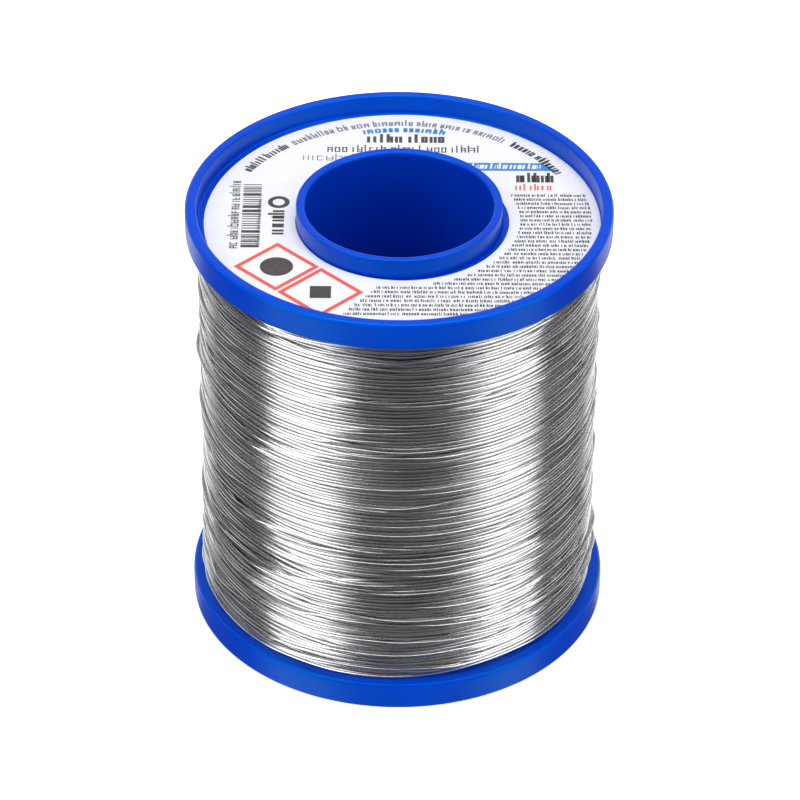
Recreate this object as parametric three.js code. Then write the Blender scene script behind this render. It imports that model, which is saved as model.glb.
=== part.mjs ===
// A reel of solder wire: a moulded barrel with two rimmed flanges, a paper label ring in the
// top flange's recess, and the wire wound level between the flanges.
// Millimetres, +Z up along the spool's axis, origin at the middle of the bottom rim's rest face.
import * as THREE from 'three';

// Driving dimensions.
const SPOOL_HEIGHT = 77.6;
const FLANGE_RADIUS = 35;
const RIM_HEIGHT = 4.9;
const RIM_WALL = 1.9;
const RECESS_DEPTH = 3.4;
const BORE_RADIUS = 15.4;
const HUB_END_RADIUS = 16.85;
const BARREL_RADIUS = 17.5;
const WOUND_RADIUS = 33.25;
const WIRE_DIAMETER = 0.5;
const LABEL_RADIUS = 32.4;
const LABEL_HOLE_RADIUS = 17.45;
const LABEL_THICKNESS = 0.2;
const LABEL_SHIFT = 0.5;

// Edge rounding and the clearance between pieces that touch.
const RIM_OUTER_ROUND = 0.65;
const RIM_INNER_ROUND = 0.35;
const RIM_WIRE_SIDE_ROUND = 0.6;
const RECESS_ROUND = 0.4;
const HUB_OUTER_ROUND = 0.2;
const HUB_BORE_ROUND = 0.45;
const SEAT_GAP = 0.3;
const WIRE_GAP = 0.2;
const LABEL_GAP = 0.1;

// Faces round the axis, and steps in each half of a rounded corner.
const FACES = 96;
const CORNER_STEPS = 1;

const DOWN = 1.5 * Math.PI;
const RIGHT = 2 * Math.PI;
const UP = 0.5 * Math.PI;
const LEFT = Math.PI;

const bluePlastic = () => new THREE.MeshStandardMaterial({ color: 0x0a3fc8, roughness: 0.28, metalness: 0 });
const labelPaper = () => new THREE.MeshStandardMaterial({ color: 0xe4e7f2, roughness: 0.5, metalness: 0 });
const solderMetal = () => new THREE.MeshStandardMaterial({ color: 0xb4b4b6, roughness: 0.3, metalness: 1 });

// Turns a closed outline, x outward and y up, round the spool's axis.
function turned(name, points, material) {
  const geometry = new THREE.LatheGeometry(points, FACES);
  geometry.rotateX(UP);
  const mesh = new THREE.Mesh(geometry, material);
  mesh.name = name;
  return mesh;
}

// The path's points, closed on the first one.
function closedPoints(path) {
  path.closePath();
  return path.getPoints(CORNER_STEPS);
}

// A flange lying with its recess downwards: a thin disc with a deep rounded rim round it.
function flangeOutline() {
  const hole = HUB_END_RADIUS + SEAT_GAP;
  const wall = FLANGE_RADIUS - RIM_WALL;
  const path = new THREE.Path();
  path.moveTo(hole, RECESS_DEPTH);
  path.absarc(wall - RECESS_ROUND, RECESS_DEPTH - RECESS_ROUND, RECESS_ROUND, UP, 0, true);
  path.absarc(wall + RIM_INNER_ROUND, RIM_INNER_ROUND, RIM_INNER_ROUND, LEFT, DOWN, false);
  path.absarc(FLANGE_RADIUS - RIM_OUTER_ROUND, RIM_OUTER_ROUND, RIM_OUTER_ROUND, DOWN, RIGHT, false);
  path.absarc(FLANGE_RADIUS - RIM_WIRE_SIDE_ROUND, RIM_HEIGHT - RIM_WIRE_SIDE_ROUND,
    RIM_WIRE_SIDE_ROUND, 0, UP, false);
  path.lineTo(hole, RIM_HEIGHT);
  return closedPoints(path);
}

function bottomFlange() {
  return turned('flange_bottom', flangeOutline(), bluePlastic());
}

function topFlange() {
  const flange = turned('flange_top', flangeOutline(), bluePlastic());
  flange.rotation.x = Math.PI;
  flange.position.z = SPOOL_HEIGHT;
  return flange;
}

// The tube between the flanges. Its ends are turned down to make a shoulder that each flange
// seats on, and pass through the flanges to stand level with the rims.
function barrel() {
  const shoulder = RIM_HEIGHT + SEAT_GAP;
  const outer = HUB_END_RADIUS - HUB_OUTER_ROUND;
  const inner = BORE_RADIUS + HUB_BORE_ROUND;
  const path = new THREE.Path();
  path.moveTo(inner, 0);
  path.absarc(outer, HUB_OUTER_ROUND, HUB_OUTER_ROUND, DOWN, RIGHT, false);
  path.lineTo(HUB_END_RADIUS, shoulder);
  path.lineTo(BARREL_RADIUS, shoulder);
  path.lineTo(BARREL_RADIUS, SPOOL_HEIGHT - shoulder);
  path.lineTo(HUB_END_RADIUS, SPOOL_HEIGHT - shoulder);
  path.absarc(outer, SPOOL_HEIGHT - HUB_OUTER_ROUND, HUB_OUTER_ROUND, 0, UP, false);
  path.absarc(inner, SPOOL_HEIGHT - HUB_BORE_ROUND, HUB_BORE_ROUND, UP, LEFT, false);
  path.absarc(inner, HUB_BORE_ROUND, HUB_BORE_ROUND, LEFT, DOWN, false);
  return turned('barrel', closedPoints(path), bluePlastic());
}

// The wound wire as one ring: full between the flanges, with an outside that swells and dips
// by part of a wire's thickness and falls away in the two corners.
function woundWire() {
  const waves = 3.5;
  const steps = 20;
  const low = RIM_HEIGHT + WIRE_GAP;
  const high = SPOOL_HEIGHT - RIM_HEIGHT - WIRE_GAP;
  const inside = BARREL_RADIUS + WIRE_GAP;
  const points = [new THREE.Vector2(inside, low)];
  for (let i = 0; i <= steps; i += 1) {
    const share = i / steps;
    const swell = 0.15 * WIRE_DIAMETER * Math.cos(2 * Math.PI * waves * share);
    const corner = 0.5 * WIRE_DIAMETER * Math.abs(2 * share - 1) ** 12;
    points.push(new THREE.Vector2(WOUND_RADIUS + swell - corner, low + share * (high - low)));
  }
  points.push(new THREE.Vector2(inside, high), points[0].clone());
  return turned('solder_wire', points, solderMetal());
}

// The ring label on the top recess's floor, stuck a little to one side.
function labelRing() {
  const low = SPOOL_HEIGHT - RECESS_DEPTH + LABEL_GAP;
  const high = low + LABEL_THICKNESS;
  const path = new THREE.Path();
  path.moveTo(LABEL_HOLE_RADIUS, low);
  path.lineTo(LABEL_RADIUS, low);
  path.lineTo(LABEL_RADIUS, high);
  path.lineTo(LABEL_HOLE_RADIUS, high);
  const label = turned('label', closedPoints(path), labelPaper());
  label.position.x = LABEL_SHIFT;
  return label;
}

const spool = new THREE.Group();
spool.add(barrel(), bottomFlange(), topFlange(), woundWire(), labelRing());

export default spool;
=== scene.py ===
"""Looks for the solder wire spool: moulded blue plastic, a printed ring label and wound wire."""

import math

import bpy
import numpy as np
from mathutils import Matrix, Vector


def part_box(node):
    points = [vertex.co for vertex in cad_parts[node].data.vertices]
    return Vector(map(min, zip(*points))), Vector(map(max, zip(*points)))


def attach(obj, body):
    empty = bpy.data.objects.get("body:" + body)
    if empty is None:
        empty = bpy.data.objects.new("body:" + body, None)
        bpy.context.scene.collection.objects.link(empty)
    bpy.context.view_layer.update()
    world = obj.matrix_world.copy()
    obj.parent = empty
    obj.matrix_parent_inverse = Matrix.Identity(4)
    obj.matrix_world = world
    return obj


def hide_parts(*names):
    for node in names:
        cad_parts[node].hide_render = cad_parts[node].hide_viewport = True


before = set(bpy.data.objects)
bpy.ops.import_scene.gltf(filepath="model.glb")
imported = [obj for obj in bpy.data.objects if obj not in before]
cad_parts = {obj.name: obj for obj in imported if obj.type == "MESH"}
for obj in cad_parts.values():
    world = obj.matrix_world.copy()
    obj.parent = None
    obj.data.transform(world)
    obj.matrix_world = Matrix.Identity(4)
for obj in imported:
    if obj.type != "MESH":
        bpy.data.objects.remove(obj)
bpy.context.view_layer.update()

MM = 0.001
TURN = 2 * math.pi
QUARTER_TURN = math.pi / 2
BODY = "root"

# Places and sizes that the frame gives.
TOP_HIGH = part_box("flange_top")[1]
LABEL_LOW, LABEL_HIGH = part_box("label")
HEIGHT = TOP_HIGH.z
FLANGE_RADIUS = TOP_HIGH.x
RIM_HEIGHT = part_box("flange_bottom")[1].z
BARREL_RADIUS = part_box("barrel")[1].x
LABEL_RADIUS = (LABEL_HIGH.x - LABEL_LOW.x) / 2
LABEL_CENTRE_X = (LABEL_HIGH.x + LABEL_LOW.x) / 2

# Sizes that the boxes don't give, as in the CAD model.
RIM_WALL = 1.9 * MM
RECESS_DEPTH = 3.4 * MM
BORE_RADIUS = 15.4 * MM
HUB_END_RADIUS = 16.85 * MM
LABEL_HOLE_RADIUS = 17.45 * MM
RECESS_FLOOR_Z = HEIGHT - RECESS_DEPTH

# The wire and its winding.
WIRE = 0.5 * MM
WINDING_SEED = 11
OUTER_LAYERS = 4
INNER_RADIUS = 31.45 * MM
TURNS_IN_PIECE = 80


# ---------------------------------------------------------------- meshes

def add_object(name, verts, faces, smooth=True):
    """A mesh object from arrays of corners and of quads or triangles."""
    verts = np.asarray(verts, np.float32)
    faces = np.asarray(faces, np.int32)
    sides = faces.shape[1]
    mesh = bpy.data.meshes.new(name)
    mesh.vertices.add(len(verts))
    mesh.vertices.foreach_set("co", verts.ravel())
    mesh.loops.add(faces.size)
    mesh.loops.foreach_set("vertex_index", faces.ravel())
    mesh.polygons.add(len(faces))
    mesh.polygons.foreach_set("loop_start", np.arange(0, faces.size, sides, dtype=np.int32))
    mesh.polygons.foreach_set("use_smooth", np.full(len(faces), smooth))
    mesh.update(calc_edges=True)
    mesh.validate()
    piece = bpy.data.objects.new(name, mesh)
    bpy.context.scene.collection.objects.link(piece)
    return piece


def outline(corners, steps=6, guard=0.12 * MM):
    """A closed outline from (radius, height, rounding) corners, with each rounding as an arc.

    A guard point on each side of an arc keeps the flats beside it flat when shaded smooth."""
    points = []
    count = len(corners)
    for i, (r, z, rounding) in enumerate(corners):
        here = Vector((r, z))
        before = Vector(corners[i - 1][:2]) - here
        after = Vector(corners[(i + 1) % count][:2]) - here
        if rounding == 0:
            points.append(here)
            continue
        half = before.angle(after) / 2
        reach = rounding / math.tan(half)
        a, b = before.normalized(), after.normalized()
        centre = here + (a + b).normalized() * rounding / math.sin(half)
        start, end = here + a * reach, here + b * reach
        if before.length > reach + 2 * guard:
            points.append(here + a * (reach + guard))
        first, last = start - centre, end - centre
        sweep = first.angle_signed(last)
        for k in range(steps + 1):
            spin = Matrix.Rotation(-sweep * k / steps, 2)
            points.append(centre + spin @ first)
        if after.length > reach + 2 * guard:
            points.append(here + b * (reach + guard))
    return [(p.x, p.y) for p in points]


def turned(name, points, segments=256, centre=(0, 0)):
    """A closed outline of (radius, height) points turned round the vertical through centre."""
    ring = np.array(points)
    angle = np.linspace(0, TURN, segments, endpoint=False)
    x = centre[0] + np.outer(np.cos(angle), ring[:, 0])
    y = centre[1] + np.outer(np.sin(angle), ring[:, 0])
    z = np.tile(ring[:, 1], (segments, 1))
    verts = np.stack([x, y, z], -1).reshape(-1, 3)
    n = len(ring)
    i, j = np.meshgrid(np.arange(segments), np.arange(n), indexing="ij")
    i2, j2 = (i + 1) % segments, (j + 1) % n
    faces = np.stack([i * n + j, i2 * n + j, i2 * n + j2, i * n + j2], -1).reshape(-1, 4)
    return add_object(name, verts, faces)


# ---------------------------------------------------------------- materials

class Nodes:
    """A material's node tree, with short ways to add and join nodes."""

    def __init__(self, name):
        self.material = bpy.data.materials.new(name)
        self.material.use_nodes = True
        self.tree = self.material.node_tree
        self.shader = self.tree.nodes["Principled BSDF"]

    def add(self, kind, inputs=None, **settings):
        node = self.tree.nodes.new(kind)
        for key, value in settings.items():
            setattr(node, key, value)
        for key, value in (inputs or {}).items():
            if isinstance(value, bpy.types.NodeSocket):
                self.tree.links.new(value, node.inputs[key])
            else:
                node.inputs[key].default_value = value
        return node

    def set(self, **values):
        for key, value in values.items():
            socket = self.shader.inputs[key.replace("_", " ")]
            if isinstance(value, bpy.types.NodeSocket):
                self.tree.links.new(value, socket)
            else:
                socket.default_value = value

    def coordinates(self, scale=(1, 1, 1)):
        place = self.add("ShaderNodeTexCoord").outputs["Object"]
        return self.add("ShaderNodeMapping", {"Vector": place, "Scale": scale}).outputs["Vector"]

    def noise(self, vector, scale, detail=3.0, rough=0.5):
        inputs = {"Vector": vector, "Scale": scale, "Detail": detail, "Roughness": rough}
        return self.add("ShaderNodeTexNoise", inputs).outputs["Fac"]

    def spread(self, value, low, high, start=0.3, end=0.7):
        """value from start to end becomes a number from low to high."""
        inputs = {"Value": value, "From Min": start, "From Max": end, "To Min": low, "To Max": high}
        return self.add("ShaderNodeMapRange", inputs).outputs["Result"]

    def blend(self, share, first, second):
        node = self.add("ShaderNodeMix", data_type="RGBA")
        self.tree.links.new(share, node.inputs["Factor"])
        node.inputs["A"].default_value = (*first, 1)
        node.inputs["B"].default_value = (*second, 1)
        return node.outputs["Result"]

    def bump(self, height, strength, distance, normal=None):
        inputs = {"Height": height, "Strength": strength, "Distance": distance}
        if normal is not None:
            inputs["Normal"] = normal
        return self.add("ShaderNodeBump", inputs).outputs["Normal"]


def blue_plastic():
    """Glossy moulded polystyrene: faint flow clouds, fine orange peel and a few handling marks."""
    m = Nodes("blue_plastic")
    place = m.coordinates()
    cloud = m.noise(place, 55, 2)
    m.set(Base_Color=m.blend(m.spread(cloud, 0, 1), (0.0, 0.038, 0.49), (0.0, 0.046, 0.57)))
    m.set(Roughness=m.spread(m.noise(place, 160, 4), 0.29, 0.36))
    peel = m.bump(m.noise(place, 900, 2), 0.05, 0.05 * MM)
    m.set(Normal=m.bump(m.noise(place, 90, 1), 0.08, 0.2 * MM, peel))
    m.set(IOR=1.49, Specular_Tint=(0.0, 0.85, 1.0, 1))
    return m.material


def label_paper():
    """Satin coated label stock with a faint fibre mottle."""
    m = Nodes("label_paper")
    place = m.coordinates()
    m.set(Base_Color=m.blend(m.noise(place, 400, 4), (0.70, 0.71, 0.745), (0.76, 0.77, 0.795)))
    m.set(Roughness=m.spread(m.noise(place, 250, 3), 0.42, 0.55))
    m.set(Normal=m.bump(m.noise(place, 1500, 3), 0.10, 0.02 * MM))
    return m.material


def printed_ink(name, colour):
    """Thermal or litho ink, a little uneven in the solid areas."""
    m = Nodes(name)
    place = m.coordinates()
    worn = tuple(0.85 * c + 0.03 for c in colour)
    m.set(Base_Color=m.blend(m.spread(m.noise(place, 1200, 3), 0, 1), colour, worn))
    m.set(Roughness=m.spread(m.noise(place, 300, 2), 0.40, 0.55))
    return m.material


def solder_metal():
    """Bright drawn tin-lead: pale grey metal with soft patches of handling haze."""
    m = Nodes("solder_metal")
    place = m.coordinates()
    m.set(Base_Color=m.blend(m.noise(place, 130, 3), (0.66, 0.66, 0.67), (0.80, 0.80, 0.81)))
    m.set(Roughness=m.spread(m.noise(place, 90, 2), 0.16, 0.25))
    m.set(Metallic=1.0)
    return m.material


def flux_resin():
    """The amber flux in the wire's cores."""
    m = Nodes("flux_resin")
    place = m.coordinates()
    m.set(Base_Color=m.blend(m.noise(place, 4000, 2), (0.55, 0.28, 0.06), (0.68, 0.40, 0.12)))
    m.set(Roughness=0.3)
    return m.material


def floor_material():
    """Pale card that glows a little, so that it stays pale wherever it is seen."""
    m = Nodes("floor")
    place = m.coordinates()
    m.set(Base_Color=m.blend(m.noise(place, 3, 2), (0.80, 0.80, 0.80), (0.84, 0.84, 0.84)))
    m.set(Roughness=0.8, Emission_Color=(1, 1, 1, 1), Emission_Strength=0.85)
    return m.material


def finish_piece(piece, material, slot, *nodes):
    """Gives a piece its material and ties it to the frame."""
    piece.data.materials.append(material)
    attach(piece, BODY)
    if nodes:
        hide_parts(*nodes)
    return piece


# ---------------------------------------------------------------- mouldings

def flange_corners():
    """A flange's outline from its rest face up, recess downwards, run anticlockwise."""
    hole = HUB_END_RADIUS + 0.05 * MM
    wall = FLANGE_RADIUS - RIM_WALL
    parting_line = RIM_HEIGHT - 1.0 * MM
    step = 0.05 * MM
    groove = 0.07 * MM
    return [
        (hole, RECESS_DEPTH, 0.08 * MM),
        (wall, RECESS_DEPTH, 0.40 * MM),
        (wall, 0, 0.35 * MM),
        (FLANGE_RADIUS, 0, 0.65 * MM),
        (FLANGE_RADIUS, parting_line - groove, 0.03 * MM),
        (FLANGE_RADIUS - groove, parting_line, 0.02 * MM),
        (FLANGE_RADIUS - step, parting_line + groove, 0.03 * MM),
        (FLANGE_RADIUS - step, RIM_HEIGHT, 0.60 * MM),
        (hole, RIM_HEIGHT, 0.08 * MM),
    ]


def make_flanges(plastic):
    """Two flanges of one moulding, the top one turned over."""
    points = outline(flange_corners())
    bottom = turned("bottom_flange", points)
    finish_piece(bottom, plastic, "blue_plastic", "flange_bottom")
    flipped = [(r, HEIGHT - z) for r, z in reversed(points)]
    top = turned("top_flange", flipped)
    finish_piece(top, plastic, "blue_plastic", "flange_top")


def make_barrel(plastic):
    """The barrel, with a fine witness line round each end face."""
    shoulder = RIM_HEIGHT + 0.05 * MM
    witness = HUB_END_RADIUS - 0.5 * MM
    groove = 0.05 * MM

    def end(z, inward):
        return [
            (BORE_RADIUS, z, 0.45 * MM),
            (witness - groove, z, 0.02 * MM),
            (witness, z + inward * groove, 0.02 * MM),
            (witness + groove, z, 0.02 * MM),
            (HUB_END_RADIUS, z, 0.20 * MM),
        ]

    corners = end(0, 1) + [
        (HUB_END_RADIUS, shoulder, 0.05 * MM),
        (BARREL_RADIUS, shoulder, 0.10 * MM),
        (BARREL_RADIUS, HEIGHT - shoulder, 0.10 * MM),
        (HUB_END_RADIUS, HEIGHT - shoulder, 0.05 * MM),
    ] + end(HEIGHT, -1)[::-1]
    barrel = turned("hub_barrel", outline(corners))
    finish_piece(barrel, plastic, "blue_plastic", "barrel")


# ---------------------------------------------------------------- label

LABEL_TOP = RECESS_FLOOR_Z + 0.12 * MM
INK = 0.015 * MM


def make_label(paper):
    """The label's blank ring, with its upper edges just broken."""
    low = RECESS_FLOOR_Z + 0.01 * MM
    edge = 0.03 * MM
    corners = [
        (LABEL_HOLE_RADIUS, low, 0),
        (LABEL_RADIUS, low, 0),
        (LABEL_RADIUS, LABEL_TOP, edge),
        (LABEL_HOLE_RADIUS, LABEL_TOP, edge),
    ]
    points = outline(corners, steps=2, guard=0.1 * MM)
    ring = turned("ring_label", points, centre=(LABEL_CENTRE_X, 0))
    finish_piece(ring, paper, "label_paper", "label")


class Print:
    """Flat printed marks of one ink, each a very thin block lying on the label.

    Places are in millimetres from the label's centre, x to the right and y to the back."""

    def __init__(self):
        self.quads = []

    def block(self, x, y, width, height, turn=0.0, slant=0.0, pivot=(0.0, 0.0)):
        """A bar with its lower left corner at x, y, turned about pivot."""
        corners = [(x, y), (x + width, y), (x + width + slant, y + height), (x + slant, y + height)]
        c, s = math.cos(turn), math.sin(turn)
        px, py = pivot
        self.quads.append([
            (px + c * (a - px) - s * (b - py), py + s * (a - px) + c * (b - py)) for a, b in corners
        ])

    def frame(self, x, y, half, line):
        """A square stood on its corner, as four mitred bars."""
        outer = [(x + half, y), (x, y + half), (x - half, y), (x, y - half)]
        near = half - line
        inner = [(x + near, y), (x, y + near), (x - near, y), (x, y - near)]
        for k in range(4):
            self.quads.append([outer[k], outer[(k + 1) % 4], inner[(k + 1) % 4], inner[k]])

    def disc(self, x, y, radius, hole=0.0, steps=24):
        """A ring, or a disc where the hole is very small."""
        for k in range(steps):
            a, b = TURN * k / steps, TURN * (k + 1) / steps
            self.quads.append([
                (x + radius * math.cos(a), y + radius * math.sin(a)),
                (x + radius * math.cos(b), y + radius * math.sin(b)),
                (x + hole * math.cos(b), y + hole * math.sin(b)),
                (x + hole * math.cos(a), y + hole * math.sin(a)),
            ])

    def make(self, name, material, level=0):
        """level lifts one ink over another that it is printed on."""
        low = LABEL_TOP + (0.2 + level) * INK
        high = low + 0.8 * INK
        verts, faces = [], []
        for quad in self.quads:
            area = sum(
                quad[k - 1][0] * quad[k][1] - quad[k][0] * quad[k - 1][1] for k in range(4)
            )
            ring = quad if area > 0 else quad[::-1]
            base = len(verts)
            for z in (low, high):
                verts += [(LABEL_CENTRE_X + a * MM, b * MM, z) for a, b in ring]
            faces.append((base + 3, base + 2, base + 1, base))
            faces.append((base + 4, base + 5, base + 6, base + 7))
            for k in range(4):
                n = (k + 1) % 4
                faces.append((base + k, base + n, base + 4 + n, base + 4 + k))
        piece = add_object(name, verts, faces, smooth=False)
        finish_piece(piece, material, "label_paper")


def dummy_letters(rng, length, size):
    """Places and widths of marks in words that fill a line of the given length exactly."""
    marks, cursor = [], 0.0
    while cursor < length:
        for _ in range(int(rng.integers(2, 10))):
            width = size * rng.choice([0.3, 0.55, 0.6, 0.8])
            marks.append((cursor, width))
            cursor += width + 0.2 * size
        cursor += 0.35 * size
    last = marks[-1][0] + marks[-1][1]
    fit = length / last
    return [(start * fit, width * fit) for start, width in marks]


def dummy_text(ink, rng, x, y, length, size, weight=0.2, turn=0.0, slant=0.0, pivot=(0.0, 0.0)):
    """A line of meaningless marks with the rhythm of small print: uprights and crossbars."""
    bar = weight * size
    for start, width in dummy_letters(rng, length, size):
        left = x + start
        tall = size * rng.choice([1.0, 1.0, 1.0, 1.4])
        ink.block(left, y, bar, tall, turn, slant, pivot)
        if width < 0.45 * size:
            continue
        if rng.random() < 0.75:
            ink.block(left + width - bar, y, bar, size, turn, slant, pivot)
        for level in rng.choice([0.0, 0.4, 0.8], size=2, replace=False):
            ink.block(left + bar, y + level * size, width - 2 * bar, bar, turn, slant, pivot)


def arc_text(ink, rng, radius, start, end, size, weight=0.2):
    """Dummy marks standing on an arc, from the angle start round to end, in degrees."""
    bar = weight * size
    length = math.radians(start - end) * radius
    for place, width in dummy_letters(rng, length, size):
        turn = math.radians(start - 90) - (place + width / 2) / radius
        tall = size * rng.choice([1.0, 1.0, 1.4])
        ink.block(-width / 2, radius, bar, tall, turn)
        if width < 0.45 * size:
            continue
        ink.block(width / 2 - bar, radius, bar, size, turn)
        for level in rng.choice([0.0, 0.4, 0.8], size=2, replace=False):
            ink.block(-width / 2 + bar, radius + level * size, width - 2 * bar, bar, turn)


def print_label():
    """Generic print in the places that such a label fills. It says and codes nothing."""
    rng = np.random.default_rng(5)
    dark, grey, red, blue, white = Print(), Print(), Print(), Print(), Print()

    arc_text(dark, rng, 28.9, 150.5, 131, 1.25, 0.3)
    arc_text(grey, rng, 28.9, 128.5, 55, 1.25, 0.22)
    arc_text(dark, rng, 28.9, 52, 29, 1.25, 0.3)
    arc_text(blue, rng, 26.9, 104, 75, 1.25, 0.32)

    dummy_text(dark, rng, -6.0, 23.6, 13.0, 1.9, 0.28)
    dummy_text(dark, rng, -12.6, 20.6, 25.5, 1.6, 0.15)
    dummy_text(grey, rng, -16.6, 18.0, 8.6, 1.5, 0.13)

    blue.block(9.0, 15.1, 16.4, 2.4, slant=-2.2)
    dummy_text(white, rng, 11.4, 15.7, 11.4, 1.15, 0.3, slant=0.2)
    dummy_text(dark, rng, 18.8, 11.6, 5.9, 2.1, 0.24)
    dummy_text(red, rng, 18.6, 9.2, 6.2, 1.4, 0.2)

    small_print(dark, rng)
    bar_pattern(dark, grey, rng)
    plain_emblem(dark, rng)
    red.frame(-20.2, -13.7, 6.9, 1.05)
    red.frame(-13.0, -20.9, 6.9, 1.05)
    dark.disc(-20.2, -13.7, 2.7, 0.01)
    dark.block(-14.7, -22.6, 3.4, 3.4)

    dark.make("label_print_dark", printed_ink("ink_dark", (0.045, 0.037, 0.037)))
    grey.make("label_print_grey", printed_ink("ink_grey", (0.17, 0.16, 0.17)))
    red.make("label_print_red", printed_ink("ink_red", (0.80, 0.075, 0.05)))
    blue.make("label_print_blue", printed_ink("ink_blue", (0.02, 0.20, 0.62)))
    white.make("label_print_white", printed_ink("ink_white", (0.85, 0.85, 0.85)), level=1)


def small_print(ink, rng):
    """The block of small lines that follows the label's lower right quarter.

    Its lowest lines reach in under the hub, nearly to the lower diamond."""
    rows, first_line, line_pitch, size = 29, 7.3, 1.235, 0.62
    outer_margin, inner_margin = 31.0, 19.3
    hub_side, hub_foot = -13, -19.5
    for row in range(rows):
        y = first_line - row * line_pitch
        right = math.sqrt(outer_margin ** 2 - y * y)
        left = math.sqrt(max(inner_margin ** 2 - y * y, 0))
        if y <= hub_foot:
            left = -4.5 + (y + 20.5) * 0.7
        elif y < hub_side:
            left = max(left, 2.5 + (y + 19.5) * 1.5)
        dummy_text(ink, rng, left, y, right - left, size, 0.26)


def bar_pattern(ink, pale, rng):
    """Plain bars of random widths, which code nothing, and a row of marks beside them."""
    y, end, left, length = -8.2, 10.6, -26.2, 3.0
    while y < end:
        thick = rng.choice([0.25, 0.3, 0.5, 0.8])
        ink.block(left, y, length, thick)
        y += thick + rng.choice([0.2, 0.3, 0.45])
    side = (-28.2, -8.5)
    dummy_text(ink, rng, side[0], side[1] - 1.5, 20, 1.3, 0.18, turn=QUARTER_TURN, pivot=side)
    side = (-23.1, -7.4)
    dummy_text(pale, rng, side[0], side[1], 13.5, 0.5, 0.2, turn=QUARTER_TURN, pivot=side)


def plain_emblem(ink, rng):
    """A plain ring and a short row of marks, standing on their side."""
    ink.disc(-20.3, 5.2, 1.8, 1.0)
    side = (-19.3, -4.4)
    dummy_text(ink, rng, side[0], side[1], 7.2, 1.9, 0.3, turn=QUARTER_TURN, pivot=side)


# ---------------------------------------------------------------- wound wire

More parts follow.
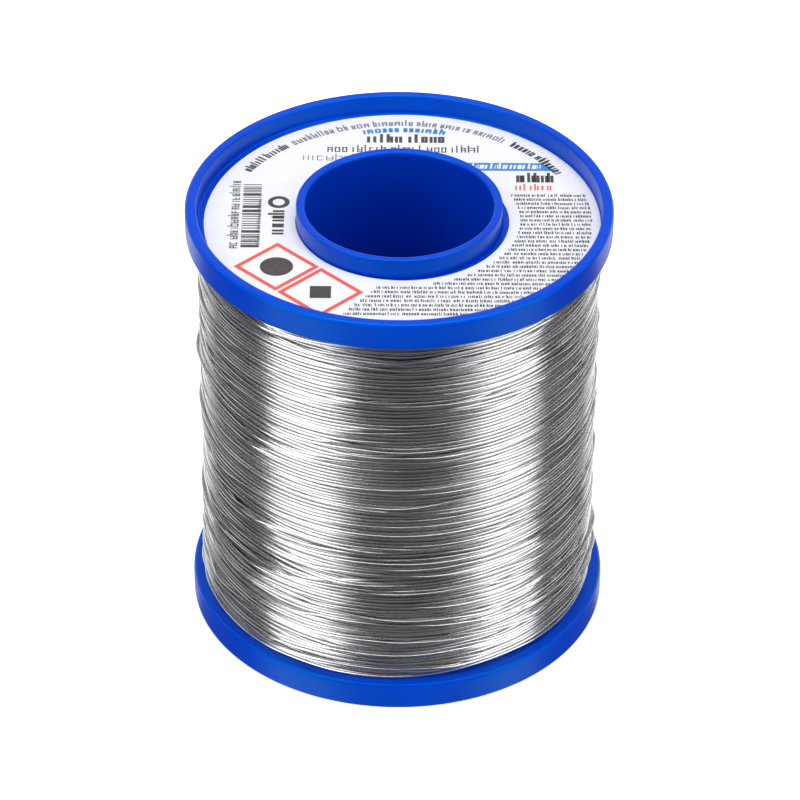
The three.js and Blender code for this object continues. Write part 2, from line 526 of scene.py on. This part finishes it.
class Winding:
    """Lays the wire turn by turn on what is already wound, as a winding machine does.

    floor holds, for each direction round the barrel and each height, the smallest radius at which
    the next stretch of wire can lie there. Lengths here are in millimetres."""

    SPOKES = 128            # directions round the barrel
    CELL = 0.05             # height step of the floor
    MARGIN = 40             # spare cells past each end of the floor
    LEAD = 30               # spokes over which the wire moves across to a new lane
    LANES = 21              # lanes that a stretch may choose from
    LANE_COST = 0.1         # what it costs to go far from the guide
    LEVELLING = 8.0         # gain in pace for each millimetre that the ground is high
    PACE_NOISE = 0.12       # how much the guide's pace varies by chance
    SLOWEST, FASTEST = 0.4, 4.0
    PROBE = 0.17            # reach to each side in feeling for a groove, in wire thicknesses
    SLIDE = 0.085           # longest slide in one step, in wire thicknesses
    SLIDE_STEPS = 14
    BRIDGE_STEPS = 40

    def __init__(self, start_radius, low, high, wire, seed):
        self.wire = wire
        self.low, self.high = low + wire / 2, high - wire / 2
        self.rng = np.random.default_rng(seed)
        cells = int(round((self.high - self.low) / self.CELL)) + 1 + 2 * self.MARGIN
        self.floor = np.full((self.SPOKES, cells), start_radius + wire / 2)
        self.z = np.full(4, self.low)
        self.r = np.full(4, start_radius + wire / 2)
        self.travel = 0.0
        self.drift = 0.0

    def rest_radius(self, spokes, z):
        """The radius at which wire laid at height z comes to rest."""
        cell = (z - self.low) / self.CELL + self.MARGIN
        i = cell.astype(int)
        f = cell - i
        return self.floor[spokes, i] * (1 - f) + self.floor[spokes, i + 1] * f

    def guide(self, share, pitch):
        """Where the machine's guide holds the wire over a stretch of share turns.

        It hurries over high ground and lingers over low, so the pack stays level."""
        span = self.high - self.low
        here = self.travel % (2 * span)
        here = min(here, 2 * span - here)
        cell = int(here / self.CELL) + self.MARGIN
        reach = self.MARGIN
        near = self.floor[:, max(cell - reach, reach):cell + reach].mean()
        level = self.floor[:, reach:-reach].mean()
        hurry = 1 + self.LEVELLING * (near - level) + self.rng.normal(0, self.PACE_NOISE)
        advance = share[-1] * pitch * float(np.clip(hurry, self.SLOWEST, self.FASTEST))
        path = (self.travel + advance * share / share[-1]) % (2 * span)
        self.travel += advance
        return np.where(path < span, path, 2 * span - path) + self.low

    def settle(self, spokes, z):
        """Slides a stretch sideways into the grooves below it, keeping it smooth."""
        line = np.concatenate([self.z[-3:], z])
        probe = self.PROBE * self.wire
        for _ in range(self.SLIDE_STEPS):
            here = line[3:]
            rise = self.rest_radius(spokes, here + probe) - self.rest_radius(spokes, here - probe)
            slope = rise / (2 * probe)
            push = np.where(np.abs(slope) > 0.1, -np.clip(slope, -1, 1), 0)
            line[3:] = here + self.SLIDE * self.wire * push
            for _ in range(3):
                line[3:-1] = 0.25 * line[2:-2] + 0.5 * line[3:-1] + 0.25 * line[4:]
            np.clip(line, self.low, self.high, out=line)
        return line[3:]

    def pull_tight(self, r):
        """Under tension the wire bridges hollows instead of following them down."""
        line = np.concatenate([self.r[-1:], r])
        sag = 0.5 * r.mean() * (1 - math.cos(TURN / self.SPOKES))
        for _ in range(self.BRIDGE_STEPS):
            line[1:-1] = np.maximum(line[1:-1], 0.5 * (line[:-2] + line[2:]) - sag)
        return line[1:]

    def lay(self, pitch, wander, seek):
        """Winds one more stretch of a bit less than a turn.

        wander is how far the guide strays, and seek how far the wire may shift to lie lower."""
        count = int(self.SPOKES * self.rng.uniform(0.55, 0.95))
        steps = np.arange(1, count + 1)
        spokes = (len(self.z) + steps - 1) % self.SPOKES
        share = steps / self.SPOKES
        t = steps / count
        self.drift = 0.8 * self.drift + self.rng.normal(0, 0.6) * wander
        swing = sum(self.rng.normal(0, wander) * np.sin(math.pi * k * t) for k in (1, 2, 3, 4))
        z = np.clip(self.guide(share, pitch) + self.drift + swing, self.low, self.high)
        shifts = np.linspace(-seek, seek, self.LANES)[:, None]
        lanes = np.clip(z + shifts, self.low, self.high)
        cost = self.rest_radius(spokes, lanes).mean(1) + self.LANE_COST * shifts[:, 0] ** 2
        ease = np.clip(steps / self.LEAD, 0, 1)
        ease = ease * ease * (3 - 2 * ease)
        slope = np.clip(self.z[-1] - self.z[-2], -0.02, 0.02)
        run_on = self.z[-1] + 0.5 * slope * np.minimum(steps, 12)
        z = self.settle(spokes, run_on * (1 - ease) + lanes[cost.argmin()] * ease)
        r = self.pull_tight(self.rest_radius(spokes, z))
        self.raise_floor(spokes, z, r)
        self.z = np.concatenate([self.z, z])
        self.r = np.concatenate([self.r, r])

    def raise_floor(self, spokes, z, r):
        """Adds the new stretch to the ground that later stretches lie on."""
        reach = int(self.wire / self.CELL)
        middle = np.round((z - self.low) / self.CELL).astype(int) + self.MARGIN
        cells = middle[:, None] + np.arange(-reach, reach + 1)
        gap = (cells - self.MARGIN) * self.CELL + self.low - z[:, None]
        lift = r[:, None] + np.sqrt(np.maximum(self.wire ** 2 - gap ** 2, 0))
        lift[np.abs(gap) > self.wire] = 0
        rows = np.repeat(spokes[:, None], cells.shape[1], 1)
        self.floor[rows, cells] = np.maximum(self.floor[rows, cells], lift)


def wound_wire():
    """The heights and radii of the wire's centre line, in millimetres, for its outer layers."""
    gap = 0.05
    low, high, wire = RIM_HEIGHT / MM + gap, (HEIGHT - RIM_HEIGHT) / MM - gap, WIRE / MM
    layers = Winding(INNER_RADIUS / MM, low, high, wire, WINDING_SEED)
    while layers.travel < OUTER_LAYERS * (high - low - wire):
        layers.lay(pitch=1.15 * wire, wander=0.05, seek=2.5 * wire)
    return layers.z, layers.r


OCTAGON = ((0, 1, 2, 3), (0, 3, 4, 7), (4, 5, 6, 7))


def wire_tube(name, first, z, r):
    """A closed tube along one stretch of the winding, which starts at spoke number first."""
    sides = 8
    spoke = first + np.arange(len(z))
    angle = TURN * spoke / Winding.SPOKES
    around = TURN * np.arange(sides) / sides
    radius = (r[:, None] + WIRE / MM / 2 * np.cos(around)) * MM
    height = (z[:, None] + WIRE / MM / 2 * np.sin(around)) * MM
    verts = np.stack([
        radius * np.cos(angle)[:, None],
        radius * np.sin(angle)[:, None],
        height,
    ], -1).reshape(-1, 3)
    i, j = np.meshgrid(np.arange(len(z) - 1), np.arange(sides), indexing="ij")
    j2 = (j + 1) % sides
    skin = np.stack([i * sides + j, (i + 1) * sides + j, (i + 1) * sides + j2, i * sides + j2], -1)
    cap = np.array(OCTAGON)
    end_cap = cap[:, ::-1] + (len(z) - 1) * sides
    return add_object(name, verts, np.concatenate([skin.reshape(-1, 4), cap, end_cap]))


def free_end(z, r):
    """Cuts the wire at the back, where its end stands a little off the winding."""
    count = Winding.SPOKES
    extra = (len(z) - 1 - count // 4) % count
    z, r = z[:len(z) - extra].copy(), r[:len(r) - extra].copy()
    sprung = 16
    spring = np.linspace(0, 1, sprung) ** 2
    z[-sprung:] += 0.9 * spring
    r[-sprung:] += 0.45 * spring
    return z, r


def make_flux_cores(angle, z, r, resin):
    """Three cores of flux that show as dots in the wire's cut end."""
    verts, faces = [], []
    cores, sides = 3, 8
    core, spread = 0.045 * MM, 0.12 * MM
    inside, proud = -0.2 * MM, 0.01 * MM
    for k in range(cores):
        turn = TURN * k / cores
        out = r * MM + spread * math.cos(turn)
        up = z * MM + spread * math.sin(turn)
        for depth in (inside, proud):
            for j in range(sides):
                a = TURN * j / sides
                x, y = out + core * math.cos(a), depth
                height = up + core * math.sin(a)
                verts.append((
                    x * math.cos(angle) - y * math.sin(angle),
                    x * math.sin(angle) + y * math.cos(angle),
                    height,
                ))
        base = 2 * sides * k
        for j in range(sides):
            n = (j + 1) % sides
            faces.append((base + j, base + sides + j, base + sides + n, base + n))
        for quad in OCTAGON:
            faces.append([base + q for q in quad])
            faces.append([base + sides + q for q in quad[::-1]])
    finish_piece(add_object("flux_cores", verts, faces, smooth=False), resin, "solder")


def make_winding(metal):
    """The wire's outer layers turn by turn, in a few lengths, over a plain core of the rest."""
    z, r = free_end(*wound_wire())
    make_flux_cores(TURN * (len(z) - 1) / Winding.SPOKES, z[-1], r[-1], flux_resin())
    turns = len(z) / Winding.SPOKES
    parts = math.ceil(turns / TURNS_IN_PIECE)
    cuts = np.linspace(0, len(z) - 1, parts + 1).astype(int)
    for k in range(parts):
        a, b = cuts[k], cuts[k + 1] + 1
        piece = wire_tube(f"solder_wire_run_{k + 1}", a, z[a:b], r[a:b])
        finish_piece(piece, metal, "solder", "solder_wire")
    gap = 0.1 * MM
    low, high = RIM_HEIGHT + gap, HEIGHT - RIM_HEIGHT - gap
    hole = BARREL_RADIUS + gap
    core = [(hole, low), (INNER_RADIUS, low), (INNER_RADIUS, high), (hole, high)]
    finish_piece(turned("solder_wire_inner_layers", core, 128), metal, "solder", "solder_wire")


# ---------------------------------------------------------------- stage

# The floor's outline in metres, as (radius, height) from its middle out and back underneath.
COVE = [(1e-5, 0), (3, 0), (3.6, 0.2), (4, 0.8), (4, 6), (4.1, 6), (4.1, -0.1), (1e-5, -0.1)]

# Name, azimuth and elevation in degrees, distance, width and height in metres, brightness.
LIGHTS = [
    ("softbox_left", 217, 26, 1.0, 0.70, 1.15, 2.5),
    ("softbox_right", 333, 26, 1.0, 0.60, 1.15, 2.5),
    ("low_left", 215, -35, 1.0, 0.60, 1.0, 1.35),
    ("low_right", 333, -35, 1.0, 0.56, 1.0, 1.2),
    ("overhead", 90, 88, 1.1, 1.0, 0.62, 5.3),
    ("back_low", 90, -14, 1.2, 3.8, 1.3, 1.15),
    ("back_high", 90, 38, 1.2, 1.8, 0.6, 0.35),
    ("back_left", 145, 42, 1.0, 0.40, 0.24, 1.3),
    ("back_right", 35, 42, 1.0, 0.40, 0.24, 1.6),
]


def area_light(name, azimuth, elevation, distance, width, height, brightness, aim=(0, 0, 0.04)):
    """A softbox at a direction from the spool, in degrees, facing it.

    brightness is how bright its face looks, where 1 is white paper in the picture."""
    a, e = math.radians(azimuth), math.radians(elevation)
    out = Vector((math.cos(e) * math.cos(a), math.cos(e) * math.sin(a), math.sin(e)))
    light = bpy.data.lights.new(name, "AREA")
    light.shape = "RECTANGLE"
    light.size, light.size_y = width, height
    light.energy = brightness * math.pi * width * height
    lamp = bpy.data.objects.new(name, light)
    lamp.location = Vector(aim) + out * distance
    lamp.rotation_euler = out.to_track_quat("Z", "Y").to_euler()
    lamp.visible_camera = False
    bpy.context.scene.collection.objects.link(lamp)
    return lamp


def make_stage():
    """A pale floor that curves up all round into a pale wall, and soft boxes round the spool.

    The floor and the fill light don't show in reflections. The lights below the floor's level
    stand for what a pale table throws back."""
    floor = turned("floor", COVE, 96)
    just_below = -0.02 * MM
    floor.location.z = just_below
    floor.data.materials.append(floor_material())
    floor.visible_diffuse = False
    floor.visible_glossy = False
    floor.visible_shadow = False

    for light in LIGHTS:
        area_light(*light)
    fill = area_light("front_fill", 270, -30, 1.0, 1.6, 1.0, 1.0)
    fill.visible_glossy = False

    make_world()
    bpy.context.scene.view_settings.view_transform = "Standard"


def make_world():
    """A dim grey studio, darker below the table's level."""
    world = bpy.data.worlds.new("studio")
    world.use_nodes = True
    tree = world.node_tree
    place = tree.nodes.new("ShaderNodeTexCoord")
    split = tree.nodes.new("ShaderNodeSeparateXYZ")
    ramp = tree.nodes.new("ShaderNodeMapRange")
    tree.links.new(place.outputs["Generated"], split.inputs["Vector"])
    tree.links.new(split.outputs["Z"], ramp.inputs["Value"])
    levels = {"From Min": -0.2, "From Max": 0.1, "To Min": 0.08, "To Max": 0.16}
    for key, value in levels.items():
        ramp.inputs[key].default_value = value
    background = tree.nodes["Background"]
    background.inputs["Color"].default_value = (1, 1, 1, 1)
    tree.links.new(ramp.outputs["Result"], background.inputs["Strength"])
    bpy.context.scene.world = world


def make_camera():
    """A long lens that looks down at the spool at about 36 degrees, as in a product shot."""
    elevation, roll = math.radians(35.7), math.radians(0.34)
    distance = 0.754
    aim = Vector((0.0003, 0, 0.0382))
    out = Vector((0, -math.cos(elevation), math.sin(elevation)))
    data = bpy.data.cameras.new("camera")
    data.lens = 202
    data.sensor_width = 36
    data.dof.use_dof = False
    data.clip_start = 0.01
    camera = bpy.data.objects.new("camera", data)
    camera.location = aim + out * distance
    spin = Matrix.Rotation(roll, 4, "Z")
    camera.rotation_euler = (out.to_track_quat("Z", "Y").to_matrix().to_4x4() @ spin).to_euler()
    bpy.context.scene.collection.objects.link(camera)
    bpy.context.scene.camera = camera


make_camera()
make_stage()
PLASTIC = blue_plastic()
make_barrel(PLASTIC)
make_flanges(PLASTIC)
make_label(label_paper())
print_label()
make_winding(solder_metal())
